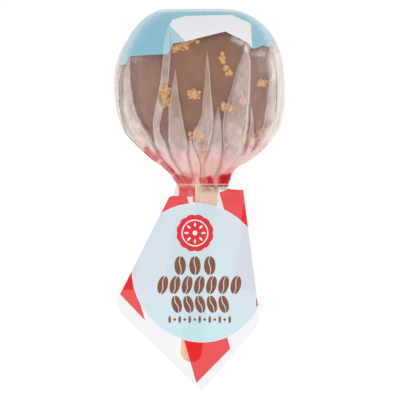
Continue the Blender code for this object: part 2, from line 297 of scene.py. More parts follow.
# Place across and along the front, then how far the cluster reaches each way and its count of crumbs.
TOFFEE_CLUSTERS = (
    (-9.7, 16.6, 2.6, 2.4, 9), (-6.6, 19.0, 2.6, 1.0, 5), (-2.6, 20.4, 2.0, 0.8, 4),
    (-14.8, -1.8, 1.8, 1.9, 8), (-14.8, -4.4, 1.5, 1.5, 7), (-14.2, -6.6, 1.3, 2.4, 8),
    (-2.1, -4.4, 2.0, 1.9, 10), (11.0, 12.2, 0.5, 1.5, 3), (12.5, 8.4, 0.6, 1.2, 3),
    (14.2, 5.0, 0.8, 1.0, 3), (29.4, 0.9, 0.9, 1.3, 7), (12.3, -10.0, 1.7, 1.9, 8),
    (20.4, -7.4, 1.2, 1.2, 4), (18.2, -20.6, 1.0, 1.0, 4), (-0.6, -23.0, 2.4, 2.2, 10),
    (26.0, -26.4, 2.4, 2.6, 12), (31.0, -21.4, 1.8, 1.6, 7), (-26.2, -24.6, 3.4, 2.2, 20),
    (2.6, -29.2, 1.2, 1.2, 4),
)
HIDDEN_CLUSTERS = 30
HIDDEN_SPREAD = 1.1


def toffee_points():
    """Where each crumb sits on the coat, its size, and how it is turned."""
    draw = random.Random(CRUMB_SEED)
    seats = []
    for u, v, across, along, count in TOFFEE_CLUSTERS:
        for _ in range(count * CRUMBS_FOR_ONE):
            at_u, at_v = draw.gauss(u, across * 0.55), draw.gauss(v, along * 0.55)
            seats.append((at_u, at_v, 1, draw.uniform(0.45, 1.1)))
    for _ in range(HIDDEN_CLUSTERS):
        v = draw.uniform(-26, 26)
        u = draw.uniform(-0.9, 0.9) * apple_radius(v)
        for _ in range(draw.randint(4, 20)):
            at_u, at_v = u + draw.gauss(0, HIDDEN_SPREAD), v + draw.gauss(0, HIDDEN_SPREAD)
            seats.append((at_u, at_v, -1, draw.uniform(0.45, 1.15)))
    found = []
    for u, v, side, size in seats:
        angle = side * math.acos(max(min(u / apple_radius(v), 0.99), -0.99))
        found.append((apple_point(angle, v), size, [draw.uniform(0, 6.28) for _ in range(3)]))
    return found


def toffee_material():
    wire = new_material("toffee_crumb", IOR=1.5)
    place = wire.place()
    grain = place.speckle(800, 3).ramp(0.38, 0.62)
    return wire.surface(
        Base_Color=grain.blend(TOFFEE, TOFFEE_PALE),
        Roughness=grain.ramp(0, 1, 0.3, 0.6),
        Normal=place.speckle(2600, 3).bump(0.5, 0.0003),
    )


class Group(Wiring):
    """A node group of its own, with named inputs and outputs, each given as its name and kind."""

    def __init__(self, name, kind, inputs, outputs):
        super().__init__(bpy.data.node_groups.new(name, kind))
        self.identifiers = {}
        for way, sockets in (("INPUT", inputs), ("OUTPUT", outputs)):
            for title, sort in sockets:
                made = self.tree.interface.new_socket(title, in_out=way, socket_type="NodeSocket" + sort)
                self.identifiers[way, title] = made.identifier

    def given(self, name):
        return self.node("NodeGroupInput", name)

    def put_out(self, **values):
        self.fill(self.tree.nodes.new("NodeGroupOutput"), values)
        return self.tree


def crumb_group(material):
    """Geometry nodes: a rough lump on each point, scaled and turned by the point's own values."""
    inputs = (("Geometry", "Geometry"), ("Crumb Radius", "Float"), ("Roughness", "Float"))
    group = Group("crumbs", "GeometryNodeTree", inputs, [("Geometry", "Geometry")])
    lump = group.node("GeometryNodeMeshIcoSphere", Radius=group.given("Crumb Radius"), Subdivisions=2)
    size = group.node("GeometryNodeInputNamedAttribute", "Attribute", Name="crumb_size")
    turn = group.node(
        "GeometryNodeInputNamedAttribute", "Attribute", {"data_type": "FLOAT_VECTOR"}, Name="crumb_turn"
    )
    turned = group.node("FunctionNodeEulerToRotation", Euler=turn)
    seats = {"Points": group.given("Geometry"), "Rotation": turned, "Scale": size}
    placed = group.node("GeometryNodeInstanceOnPoints", Instance=lump, **seats)
    real = group.node("GeometryNodeRealizeInstances", Geometry=placed)
    where = group.node("GeometryNodeInputPosition")
    uneven = group.node("ShaderNodeTexNoise", "Color", Vector=where, Scale=1500.0, Detail=2.0)
    centred = group.maths("SUBTRACT", uneven, (0.5, 0.5, 0.5), kind="ShaderNodeVectorMath")
    rough = group.given("Roughness")
    scaled = group.node("ShaderNodeVectorMath", 0, {"operation": "SCALE"}, Vector=centred, Scale=rough)
    moved = group.node("GeometryNodeSetPosition", Geometry=real, Offset=scaled)
    group.put_out(Geometry=group.node("GeometryNodeSetMaterial", Geometry=moved, Material=material))
    return group


def make_toffee():
    """Runs the crumbs' nodes on a mesh of bare points, and keeps the result as a plain mesh."""
    material = toffee_material()
    crumbs = toffee_points()
    piece = laid_piece("toffee_bits", [where for where, _, _ in crumbs], [], material)
    sizes = piece.data.attributes.new("crumb_size", "FLOAT", "POINT")
    sizes.data.foreach_set("value", [size for _, size, _ in crumbs])
    turns = piece.data.attributes.new("crumb_turn", "FLOAT_VECTOR", "POINT")
    turns.data.foreach_set("vector", [part for _, _, turn in crumbs for part in turn])
    group = crumb_group(material)
    grown = piece.modifiers.new("grown", "NODES")
    grown.node_group = group.tree
    grown[group.identifiers["INPUT", "Crumb Radius"]] = CRUMB_RADIUS * MM
    grown[group.identifiers["INPUT", "Roughness"]] = CRUMB_ROUGHNESS * MM
    graph = bpy.context.evaluated_depsgraph_get()
    mesh = bpy.data.meshes.new_from_object(piece.evaluated_get(graph))
    piece.modifiers.clear()
    piece.data = mesh
    return piece


toffee = make_toffee()
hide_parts("wrap")
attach(toffee, "root")


# ---- The stick ----
# A standard flat birch stick with round ends, pushed up into the apple through its stem end. Its grain
# runs lengthwise, and caramel has crept down it at the neck.
STICK_LEAN = math.radians(5.75)
WOOD = (252, 219, 188)
WOOD_GRAIN = (238, 194, 154)
CARAMEL_STAIN = (158, 126, 84)
STAIN_START = (LAY @ Vector((0, -50.2, 0))).y
STAIN_FULL = (LAY @ Vector((0, -48.2, 0))).y
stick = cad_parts["stick"]


def wood_material():
    wire = new_material("birch", IOR=1.45)
    place = wire.place()
    fibres = place.stretched((1, 1, 1), (0, 0, STICK_LEAN)).stretched((1700, 45, 300)).speckle(1, 4, 0.6)
    x = wire.node("ShaderNodeSeparateXYZ", "X", Vector=place)
    stained = x.beside("Y").ramp(STAIN_START, STAIN_FULL) * x.ramp(-0.001, 0.002)
    stained = stained * place.speckle(620, 3).ramp(0.3, 0.58)
    return wire.surface(
        Base_Color=stained.blend(fibres.ramp(0.42, 0.7).blend(WOOD, WOOD_GRAIN), CARAMEL_STAIN),
        Roughness=fibres.ramp(0.3, 0.7, 0.5, 0.68),
        Normal=fibres.bump(0.3, 0.0002),
    )


stick.data.materials.clear()
stick.data.materials.append(wood_material())


# ---- The film bag ----
# The middle of one square of thin clear film, drawn up over the apple and gathered into the neck in knife
# pleats. Its middle is printed blue, with a bare white panel; the rest is clear.
HEAD_HALF_WIDTH = 39.0
HEAD_CENTRE_U = 0.7
FOOT_LEVEL = 35.0
FOOT_REACH = 36.8
BELLY_REACH = 48.0
NECK_HALF_WIDTH = 11.6
NECK_HALF_DEPTH = 2.3
NECK_CENTRE_U = 2.1
NECK_LEVEL = -44.6
NECK_END = -46.3
CONE_LEVEL = -42.3
WIDTH_SLOPE = 1.18
DEPTH_SLOPE = 1.8
GATHER_BLEND = 5.0
FOLD_LAYER = 0.28
FOLD_PUFF = 0.25
NECK_PRESSING = 0.7
FILM_THICKNESS = 0.05
FILM_LIGHT_PASSED = 0.8
FOOT_VEIL = 0.09
# How far each side of the film stands off the round shape, by level: it swells over the tape, and the left
# shoulder is a corner of the folded sheet.
SIDE_LEVELS = (-45.0, -43.2, -40.9, -38.6, -36.3, -34.0, -31.0, 8.0, 15.2, 21.2, 27.6, 33.4, 35.0)
LEFT_OUT = (0.0, 1.3, 0.4, -0.4, -0.3, 0.3, 0.0, 0.0, -0.8, -1.6, -0.9, 0.9, 2.0)
RIGHT_OUT = (0.0, 0.9, -0.7, -2.2, -1.9, -0.9, 0.0, 0.0, 0.0, 0.0, 0.0, 0.0, 0.0)
FOOT_ROWS = 10
BAG_ROWS = 104
COLUMN_STEP = 2.2
STRIP_COLUMNS = 4
LEAST_GAP = 0.25
FOLD_STEP = 1.0
# Each knife pleat of the front, from the right to the left: rows of its level and of where its right and
# its left edge lie across the front. The first row is its apex, and its edges run straight between rows.
FRONT_PLEATS = (
    ((10.6, 36.0, 36.0), (0.5, 37.9, 36.0), (-10, 37.5, 35.8), (-16.2, 36.2, 35.0), (-21.8, 34.2, 33.4),
     (-27.3, 31, 30.4), (-34.6, 23.4, 22.9), (-38.6, 17.0, 16.6), (-44.6, 13.1, 12.9)),
    ((14.2, 32.6, 32.6), (6.1, 35.2, 34.0), (0.5, 35.2, 32.3), (-7.8, 35.2, 31.4), (-16.2, 34.6, 30.3),
     (-21.8, 33.0, 29.1), (-27.3, 30, 26.8), (-34.6, 22.7, 22.0), (-38.6, 16.3, 15.7), (-44.6, 12.7, 12.1)),
    ((-8.4, 24.1, 24.1), (-16.2, 25.0, 23.9), (-27.3, 25.4, 23.0), (-34.6, 21.4, 20.3), (-38.6, 15.4, 14.6),
     (-44.6, 12.0, 11.4)),
    ((18.1, 21.9, 21.9), (15.6, 23.0, 20.8), (11.7, 23.8, 19.5), (6.1, 23.8, 17.4), (0.5, 23.8, 16.0),
     (-5, 23.7, 14.5), (-12.3, 23.0, 12.1), (-19, 22.4, 11.1), (-30.9, 20.3, 11.4), (-38.4, 14.1, 10.6),
     (-44.6, 11.2, 7.2)),
    ((-10, 9.3, 9.3), (-15.4, 10.0, 7.6), (-19.5, 10.2, 7.0), (-24.6, 10.4, 5.9), (-30.1, 10.5, 4.8),
     (-32.9, 10.5, 3.6), (-36.3, 10.1, 2.3), (-44.6, 6.4, 3.0)),
    ((15.6, 4.2, 4.2), (6.1, 5.2, 3.5), (-5, 6.0, 2.5), (-14, 6.9, 1.8), (-19, 6.7, -0.4), (-22.3, 6.2, -2.2),
     (-26.2, 5.6, -2.4), (-30.1, 4.6, -1.0), (-32.9, 3.4, 0.4), (-36.3, 2.1, 1.6), (-44.6, 2.7, 1.6)),
    ((-21.2, -3.7, -3.7), (-26.8, -2.5, -4.2), (-32.9, 0.2, -3.9), (-36.3, 1.4, -3.1), (-44.6, 1.2, -1.0)),
    ((6.7, -10.2, -10.2), (-5, -8.8, -12.4), (-10.6, -7.8, -13.4), (-16.2, -6.8, -13.5), (-21.8, -5.7, -13.6),
     (-26.8, -4.3, -13.6), (-32.9, -4.0, -11.8), (-36.3, -3.3, -9.3), (-44.6, -1.3, -4.2)),
    ((27.6, -13.2, -13.2), (18.9, -12.1, -14.6), (13.9, -12.3, -15.7), (1.6, -13.0, -17.1),
     (-7.8, -14.6, -18.8), (-16.2, -16.8, -20.6), (-21.8, -17.2, -20.5), (-27.3, -13.8, -19.6),
     (-32.9, -11.9, -16.4), (-44.6, -4.4, -6.3)),
    ((11.7, -31.6, -31.6), (6.1, -30.6, -33.9), (1.1, -30.4, -34.3), (-8.4, -28.9, -34.4),
     (-14, -26.9, -33.6), (-18.4, -24.4, -32.4), (-23.4, -20.7, -29.5), (-27.3, -19.8, -26.3),
     (-34.6, -15.2, -19.5), (-38.6, -11.4, -13.6), (-44.6, -6.5, -8.1)),
    ((8.3, -35.2, -35.2), (0, -35.7, -37.3), (-8.4, -35.3, -37.1), (-16.2, -33.7, -35.4), (-22, -32.5, -33.4),
     (-27.3, -28, -29.6), (-34.6, -20, -21), (-38.6, -14.0, -14.6), (-44.6, -8.3, -8.7)),
)
BACK_PLEATS = 11
BACK_PLEAT_SEED = 5
BACK_START, BACK_END = 186.0, 372.0
CREASE = 0.32
BLUE = (132, 188, 206)
BLUE_PALE = (142, 197, 213)
PANEL_WHITE = (240, 239, 244)
INK_COVER = 0.985
RED = (236, 14, 22)
RED_DEEP = (188, 6, 24)
# Streaks of the red print in the gathered film: both ends, half width and how much of the red shows.
RED_STREAKS = (
    (-22.9, -29.6, -19.0, -34.2, 1.6, 1.0), (-15.8, -35.6, -11.4, -39.6, 1.1, 0.8),
    (-17.5, -31.5, -13.0, -37.0, 2.0, 0.3), (-9.6, -42.0, -3.6, -43.4, 1.6, 0.8),
    (-9.4, -44.4, -3.6, -45.2, 1.2, 0.75), (-6.0, -40.6, -0.8, -41.4, 1.2, 0.42),
    (1.6, -43.2, 3.4, -45.4, 1.4, 0.75), (5.2, -42.6, 6.0, -45.8, 1.5, 1.0),
    (14.0, -41.4, 12.2, -43.0, 1.3, 1.0), (11.6, -43.0, 11.2, -45.8, 2.7, 1.0),
    (16.0, -38.0, 12.5, -39.8, 1.2, 0.36), (21.2, -27.6, 20.0, -31.0, 1.2, 0.2),
    (29.2, -27.6, 17.6, -36.2, 2.3, 0.13),
)
# Where the film looks hazier or clearer than round it: place across and along, reach each way, how much.
HAZE_SPOTS = (
    (28.0, 14.2, 4.2, 1.2, 0.18), (16.6, 20.8, 1.8, 1.2, 0.26), (19.6, 19.4, 2.0, 1.2, 0.34),
    (22.6, 17.2, 1.3, 2.2, 0.35), (-28.5, 11.6, 3.4, 1.4, 0.1), (2.4, -30.0, 2.2, 4.2, -0.22),
    (-33.5, -12.0, 2.0, 8.0, 0.1), (-29.0, -20.0, 3.0, 3.6, 0.14), (-4.6, -35.6, 3.2, 4.6, 0.12),
    (-15.0, -34.4, 3.0, 3.0, 0.14), (-14.8, -4.6, 2.6, 4.8, -0.2), (-1.2, -23.6, 2.4, 2.0, -0.08),
    (25.6, -26.2, 2.8, 2.6, -0.4), (37.0, -3.0, 2.4, 10.0, -0.2), (-36.6, 2.0, 2.0, 9.0, 0.14),
    (-26.2, -24.8, 3.8, 2.4, -0.38), (7.8, -36.3, 3.0, 3.2, -0.1), (35.0, 12.0, 2.6, 10.0, 0.34),
    (33.4, -21.6, 4.5, 5.2, -0.28), (23.6, -19.6, 3.2, 3.4, -0.13), (14.8, -31.6, 3.0, 4.8, -0.22),
    (-8.3, -30.4, 2.0, 4.0, -0.14), (-34.6, -20.0, 1.6, 3.4, 0.16), (-4.6, -31.0, 1.8, 3.0, 0.12),
    (10.4, -19.6, 5.0, 3.4, 0.06), (-19.3, -27.6, 1.6, 3.0, 0.14), (-22.6, -20.4, 2.0, 3.0, -0.12),
    (29.6, 11.6, 2.6, 6.0, 0.1), (4.4, -1.0, 2.0, 8.0, -0.06), (18.4, -11.0, 4.0, 6.0, -0.05),
    (33.0, 8.0, 1.6, 6.0, 0.14), (-14.6, 8.0, 1.8, 6.0, -0.08), (-9.4, -10.0, 2.4, 5.0, -0.08),
)
# Sharp creases that catch the light, drawn as painted highlight lines: where each starts and ends, across and
# along the front.
LIGHT_CREASES = (
    (10.6, -25.3, 22.5, -21.6), (22.5, -21.6, 20.7, -27.6), (3.5, -12.3, 6.9, -16.1),
    (-2.7, -26.4, 1.8, -36.7), (-13.1, -28.0, -17.7, -32.9), (-15.4, -29.4, -12.0, -35.4),
    (11.0, -27.0, 11.0, -35.7), (24.8, 15.3, 32.2, 14.7), (15.2, 22.8, 18.0, 19.5),
    (18.0, 19.5, 20.6, 18.0), (-33.9, 3.3, -35.3, -4.5), (-31.2, 8.0, -33.6, 3.9),
    (-34.8, -10.6, -30.4, -20.4),
)
CREASE_HALF = 0.35
CREASE_HIGHLIGHT = 0.45
# Handling breaks the film into small flat facets, whose edges show as thin pale lines.
FACET_SCALE = 105.0
FACET_VEIL = 0.11
HAZE = (248, 236, 228)
GATHER_START = -24.0
GATHER_UNEVEN = 4.0
# The gather's start and end, as reaches from the sheet's middle: its fine mottling is pressed flat there.
GATHER_REACH = (88.0, 106.0)
FOOT_CREASE = 20.6
# Edges of the print, as corners across the front from the right to the left: the whole field's lower edge,
# the white panel's upper edge, and the panel's right and left sides.
FIELD_EDGE = (
    (37.0, 20.0), (33.6, 19.4), (32.8, 17.4), (29.4, 18.2), (26.4, 16.6), (24.8, 16.6), (23.2, 19.0),
    (19.4, 21.0), (15.8, 22.6), (12.6, 24.3), (-5.8, 19.6), (-12.2, 18.5), (-12.9, 13.8), (-15.6, 13.8),
    (-31.6, 13.2), (-32.6, 9.6), (-36.8, 9.2),
)
PANEL_TOP = ((24.05, 28.2), (24.0, 28.3), (15.6, 32.2), (-6.0, 31.5), (-14.6, 29.0))
PANEL_SIDES = ((24.0, 28.3), (25.0, 16.0), (-5.6, 17.0), (-5.8, 19.8), (-14.6, 29.0))
# Beside the panel a facet of the blue is painted paler, as lit by the light: beyond the line of a pleat and
# the line of the panel's side.
LIT_FACET_LINES = ((-13.2, 27.6), (-15.7, 13.9), (-5.8, 19.8), (-14.6, 29.0))
NO_PANEL = 100.0
BACK_FIELD = 46.0
EDGE_STEPS = 6
# A unit of the film's UV map, in millimetres on the flat sheet.
SHEET_UNIT = 100


def smooth_min(a, b, blend):
    near = max(blend - abs(a - b), 0.0) / blend
    return min(a, b) - near * near * blend / 4


def half_size(v, neck, slope):
    """Half the film's width or depth at level v: the apple, then a cone, then the neck."""
    belly = HEAD_HALF_WIDTH * (dome(v / FOOT_REACH, FOOT_POWER) if v >= 0 else dome(-v / BELLY_REACH, 2))
    cone = neck + 0.3 + (v - CONE_LEVEL) * slope
    return -smooth_min(-neck, -smooth_min(belly, cone, GATHER_BLEND), GATHER_BLEND / 2)


def bag_middle(v):
    return HEAD_CENTRE_U + (NECK_CENTRE_U - HEAD_CENTRE_U) * smooth_step(-v / -NECK_LEVEL)


def bag_point(angle, v, out):
    """A point of the film, out millimetres off its round shape, with angle 0 at the right."""
    across = math.cos(angle)
    width = half_size(v, NECK_HALF_WIDTH, WIDTH_SLOPE) + out
    width += float(np.interp(v, SIDE_LEVELS, LEFT_OUT if across < 0 else RIGHT_OUT)) * across ** 4
    depth = half_size(v, NECK_HALF_DEPTH, DEPTH_SLOPE) + out
    front = dome(abs(across), 2 + 0.6 * smooth_step((-v - 25) / 20))
    return Vector((bag_middle(v) + width * across, v, math.copysign(depth * front, math.sin(angle))))


def around(u, v):
    """The angle, in degrees, of the place u across the front at level v."""
    across = (u - bag_middle(v)) / half_size(v, NECK_HALF_WIDTH, WIDTH_SLOPE)
    return math.degrees(math.acos(max(min(across, 0.999), -0.999)))


def all_pleats():
    """Every pleat as rows of level, right edge and left edge, in degrees, in order round the apple."""
    draw = random.Random(BACK_PLEAT_SEED)
    pleats = []
    for rows in FRONT_PLEATS:
        knots, *edges = zip(*rows)
        below = [-v for v in knots]
        levels = [*np.arange(knots[0], knots[-1], -FOLD_STEP), knots[-1]]
        pleats.append([(v, *(around(np.interp(-v, below, edge), v) for edge in edges)) for v in levels])
    step = (BACK_END - BACK_START) / BACK_PLEATS
    for i in range(BACK_PLEATS):
        middle = BACK_START + step * (i + 0.5 + draw.uniform(-0.12, 0.12))
        half = step * draw.uniform(0.28, 0.4)
        apex = draw.uniform(-4, 16)
        rows = [(apex, 0), (apex - 14, 0.5), (-27, 0.9), (NECK_LEVEL, 1)]
        pleats.append([(v, middle - half * share, middle + half * share) for v, share in rows])
    return pleats


def pleat_edges(pleat, v):
    """The pleat's right and left edges at level v, both at its apex above that."""
    levels, rights, lefts = zip(*pleat)
    below = [-level for level in levels]
    right = float(np.interp(-v, below, rights))
    return right, max(float(np.interp(-v, below, lefts)), right)


def bag_levels():
    """Levels from the foot's edge to the neck's end, evenly spaced along the film, and their reaches."""
    levels = np.linspace(FOOT_LEVEL, NECK_END, 800)
    widths = np.array([half_size(v, NECK_HALF_WIDTH, WIDTH_SLOPE) for v in levels])
    along = np.concatenate([[0], np.cumsum(np.hypot(np.diff(levels), np.diff(widths)))])
    reach = np.linspace(0, along[-1], BAG_ROWS)
    return np.interp(reach, along, levels), reach + widths[0]


PLEATS = all_pleats()
BAG_LEVELS, BAG_REACHES = bag_levels()
SECTOR_COLUMNS = []
for number, pleat in enumerate(PLEATS):
    widest = max(
        pleat_edges(pleat, v)[1] - pleat_edges(PLEATS[number - 1], v)[1] + (360 if number == 0 else 0)
        for v in (20, 10, 0, -10, -20, -30, -40)
    )
    SECTOR_COLUMNS.append(max(round(widest / COLUMN_STEP), 3))


def creases(angle, v):
    """Small dents and ridges of handled film, drawn out towards the neck where it is gathered."""
    gather = smooth_step((8 - v) / 40)
    spot = Vector((math.cos(angle), math.sin(angle), 0))
    soft = noise.noise(spot * 3.2 + Vector((0, 0, v * 0.05)))
    sharp = 1 - abs(noise.noise(spot * (5 + 6 * gather) + Vector((3, 0, v * 0.035)))) * 2
    fine = noise.noise(spot * 14 + Vector((0, 7, v * 0.05)))
    return CREASE * (1.2 * soft + gather * 1.3 * (sharp - 0.6) + 0.5 * fine)


def red_share(angle, v, layer):
    """How much of the printed red shows in the gathered film, by place and by layer of the fold."""
    if v > GATHER_START:
        return 0.0
    turn = math.radians(angle)
    down = smooth_step((-27 - v) / 9) * smooth_step((v + 46.6) / 1.6)
    if math.sin(turn) < 0:
        patch = noise.noise(Vector((math.cos(turn) * 3, math.sin(turn) * 3, v * 0.06)))
        return min(max(0.16 + 0.9 * patch * smooth_step((-33 - v) / 8), 0.05) * down, 0.9)
    u = bag_point(turn, v, 0).x
    share = (0.32 if layer == 0 else 0.2) * down * (1 - 0.75 * smooth_step((u - 12) / 5))
    for u0, v0, u1, v1, half_width, strength in RED_STREAKS:
        along = ((u - u0) * (u1 - u0) + (v - v0) * (v1 - v0)) / ((u1 - u0) ** 2 + (v1 - v0) ** 2)
        along = min(max(along, 0), 1)
        off = math.hypot(u - u0 - along * (u1 - u0), v - v0 - along * (v1 - v0)) / half_width
        share = max(share, strength * smooth_step((1.35 - off) / 0.6))
    return share


def base_veil(angle, v, layer):
    """How hazy one layer of the film looks: more in a fold, in the gather and at the sides, where it is
    partly a painted reflection.
    """
    turn = math.radians(angle)
    across, u = math.cos(turn), bag_point(turn, v, 0).x
    start = GATHER_START + GATHER_UNEVEN * noise.noise(Vector((angle * 0.09, 4, 0)))
    gather = smooth_step((start - v) / 12) * smooth_step((v + 46.6) / 2)
    # Towards the sides the haze is raised, partly as a painted reflection of the bright surroundings.
    flank, side = smooth_step((abs(across) - 0.2) / 0.6), smooth_step((abs(across) - 0.8) / 0.17)
    veil = (0.06, 0.19, 0.22)[layer] + 0.46 * gather + (0.07 * flank + 0.22 * side) * (1 - gather)
    if math.sin(turn) > 0:
        for spot_u, spot_v, reach_u, reach_v, more in HAZE_SPOTS:
            off = math.hypot((u - spot_u) / reach_u, (v - spot_v) / reach_v)
            veil += more * smooth_step((1.35 - off) / 0.6)
    return max(veil, 0.02)


class Film:
    """A sheet of film in the making: its faces, and its points with their place on the flat sheet, their
    haze and one more mark."""

    def __init__(self, mark):
        self.mark = mark
        self.points, self.faces, self.sheet, self.veil, self.marks = [], [], [], [], []

    def add(self, point, sheet, veil, mark=0.0):
        self.points.append(point)
        self.sheet.append(sheet)
        self.veil.append(veil)
        self.marks.append(mark)
        return len(self.points) - 1

    def piece(self, name, material):
        """The film as a mesh, with its place on the flat sheet as a UV map, and its wall's thickness."""
        piece = laid_piece(name, self.points, self.faces, material)
        mesh = piece.data
        for vertex in mesh.vertices:
            vertex.co.z = max(vertex.co.z, FILM_THICKNESS * MM)
        layer = mesh.uv_layers.new(name="sheet")
        for loop in mesh.loops:
            layer.data[loop.index].uv = self.sheet[loop.vertex_index]
        for title, values in (("veil", self.veil), (self.mark, self.marks)):
            mesh.attributes.new(title, "FLOAT", "POINT").data.foreach_set("value", values)
        wall = piece.modifiers.new("wall", "SOLIDIFY")
        wall.thickness = FILM_THICKNESS * MM
        wall.offset = 0
        return piece


def step_down(share, lift):
    """How high the film lies that comes off a fold, by its share of the way to the next one."""
    return 2 * lift * (1 - max(share, 0)) ** 1.5


def film_row(v):
    """At level v, for each pleat: the film before it, and below its apex its two extra layers."""
    edges = [pleat_edges(pleat, v) for pleat in PLEATS]
    for i in range(1, len(edges)):
        clear = edges[i - 1][1] + LEAST_GAP
        edges[i] = (max(edges[i][0], clear), max(edges[i][1], clear))
    pressed = 1 - NECK_PRESSING * smooth_step((CONE_LEVEL + 4 - v) / 5)
    grown = [pressed * smooth_step((pleat[0][0] - v) / 10) for pleat in PLEATS]
    row = []
    for i, (right, left) in enumerate(edges):
        before = edges[i - 1][1] - (360 if i == 0 else 0)
        lift_before = FOLD_LAYER * grown[i - 1]
        sector = []
        for share in np.linspace(0, 1, SECTOR_COLUMNS[i] + 1):
            sector.append((before + (left - before) * share, step_down(share, lift_before)))
        fold = []
        for k in range(1, 2 * STRIP_COLUMNS):
            back = 1 - abs(1 - k / STRIP_COLUMNS)
            layer = 1.5 + (k > STRIP_COLUMNS) / 2 - (k < STRIP_COLUMNS) / 2
            angle = left - (left - right) * back
            out = step_down((angle - before) / max(left - before, 1e-6), lift_before)
            out += FOLD_LAYER * grown[i] * layer
            if layer == 2:
                out += FOLD_PUFF * math.sin(math.pi * back) * grown[i]
            fold.append((angle, out, layer))
        row.append((sector, fold if v < PLEATS[i][0][0] else []))
    return row


def build_bag():
    """Points and faces of the whole bag: the foot, then each sector and each pleat's two extra layers."""
    bag = Film("red")

    def add(angle, v, reach, out, veil, layer):
        turn = math.radians(angle)
        point = bag_point(turn, v, out + creases(turn, v) * (0.25 if v < -42 else 1))
        sheet = Vector((math.cos(turn), math.sin(turn))) * reach / SHEET_UNIT
        return bag.add(point, sheet, veil, red_share(angle, v, layer))

    rows = []
    for v, reach in zip(BAG_LEVELS, BAG_REACHES):
        spots, row = film_row(v), []
        for i, (sector, fold) in enumerate(spots):
            line = []
            for k, (angle, out) in enumerate(sector):
                shared = k == 0 and not spots[i - 1][1]
                line.append(None if shared else add(angle, v, reach, out, base_veil(angle, v, 0), 0))
            ripe = 0.55 + 0.45 * smooth_step((PLEATS[i][0][0] - v) / 20)
            folded = []
            for angle, out, layer in fold:
                kind, clear = math.ceil(layer), base_veil(angle, v, 0)
                veil = clear + (base_veil(angle, v, kind) - clear) * ripe
                folded.append(add(angle, v, reach, out, veil, kind))
            row.append((line, folded))
        for i, (line, _) in enumerate(row):
            if line[0] is None:
                line[0] = row[i - 1][0][-1]
        rows.append(row)
    for upper, lower in zip(rows, rows[1:]):
        for i, ((above, folds_above), (below, folds_below)) in enumerate(zip(upper, lower)):
            bag.faces += quads(above, below)
            after = (i + 1) % len(upper)
            chain = [below[-1], *folds_below, lower[after][0][0]]
            if folds_above:
                bag.faces += quads([above[-1], *folds_above, upper[after][0][0]], chain)
            elif folds_below:
                bag.faces += [(above[-1], b, a) for a, b in zip(chain, chain[1:])]
    add_foot(bag, [index for line, _ in rows[0] for index in line[:-1]])
    return bag


def add_foot(bag, rim):
    """The flat end of the bag, in rings from its rim towards its middle."""
    middle = Vector((HEAD_CENTRE_U, FOOT_LEVEL - 0.5, 0))
    outer = rim
    for share in (1 - ring / FOOT_ROWS for ring in range(1, FOOT_ROWS)):
        inner = []
        for index in rim:
            flat = middle.lerp(bag.points[index], share)
            flat.y += 0.5 * noise.noise(flat * 0.14) - 0.35 * (1 - share)
            inner.append(bag.add(flat, bag.sheet[index] * share, FOOT_VEIL))
        bag.faces += quads(closed(inner), closed(outer))
        outer = inner
    centre = bag.add(middle - Vector((0, 0.3, 0)), Vector((0, 0)), FOOT_VEIL)
    bag.faces += [(centre, after, here) for here, after in zip(outer, closed(outer)[1:])]


def haze_group():
    """Film's colour and cover where it is clear, hazed or tinted red. Ink lies over haze."""
    inputs = [(title, "Float") for title in ("Veil", "Red", "Depth", "Edge", "Mottle")]
    inputs += [("Place", "Vector"), ("Haze Color", "Color")]
    outputs = (("Color", "Color"), ("Cover", "Float"), ("Crinkle", "Float"))
    group = Group("film_haze", "ShaderNodeTree", inputs, outputs)
    veil, tint, mottle, where = (group.given(title) for title in ("Veil", "Red", "Mottle", "Place"))
    uneven = where.speckle(420, 5, 0.65).ramp(0.3, 0.72, -0.3, 0.35)
    cloudy = where.speckle(130, 3, 0.5).ramp(0.35, 0.7, -0.15, 0.2)
    to_edge = {"feature": "DISTANCE_TO_EDGE"}
    facets = group.node("ShaderNodeTexVoronoi", "Distance", to_edge, Vector=where, Scale=FACET_SCALE)
    line = facets.ramp(0.01, 0.035, 1, 0) * where.speckle(75, 2).ramp(0.42, 0.6)
    line = line * veil.ramp(0.1, 0.24, 0.15, 1) * mottle * FACET_VEIL
    veil = (veil * ((uneven + cloudy) * mottle + 1) + line).most(group.given("Edge"))
    cover = (1 - (1 - veil) * (1 - tint)).ramp(0, 1)
    ink_share = (tint / cover.most(0.001)).ramp(0, 1)
    red = group.given("Depth").blend(RED, RED_DEEP)
    colour = ink_share.blend(group.given("Haze Color"), red)
    return group.put_out(Color=colour, Cover=cover, Crinkle=where.speckle(300, 5, 0.6))


FILM_HAZE = haze_group()


def sheet_place(wire):
    return wire.node("ShaderNodeUVMap", 0, {"uv_map": "sheet"})


def haze_on(wire, edge_haze_and_sheen, **values):
    """The shared haze in a film material, denser where the film is seen edge on: partly a longer path through
    the haze, partly a painted reflection of the bright surroundings.
    """
    edge = wire.facing() ** 2.5 * edge_haze_and_sheen
    place = sheet_place(wire).stretched((0.1, 0.1, 0.1))
    return wire.node("ShaderNodeGroup", "Color", {"node_tree": FILM_HAZE}, Edge=edge, Place=place, **values)


def one_sided(wire, cover):
    """Only the face towards the eye counts, so that a wall of film shows once. Its haze shades little."""
    back = wire.node("ShaderNodeNewGeometry", "Backfacing")
    shading = wire.node("ShaderNodeLightPath", "Is Shadow Ray")
    return cover * (1 - shading * FILM_LIGHT_PASSED) * (1 - back)


def sheet_parts(wire):
    """Both places on the flat sheet, in millimetres."""
    x = wire.node("ShaderNodeSeparateXYZ", "X", Vector=sheet_place(wire))
    return x * SHEET_UNIT, x.beside("Y") * SHEET_UNIT


def distance(x, y):
    return (x * x + y * y).maths("SQRT")


def beyond(x, y, start, end, left=False):
    """1 on the right of the line from start to end, as seen walking along it, or else on its left."""
    (x0, y0), (x1, y1) = (end, start) if left else (start, end)
    length = math.hypot(x1 - x0, y1 - y0)
    nx, ny = (y1 - y0) / length, (x0 - x1) / length
    return x * nx + y * ny > nx * x0 + ny * y0


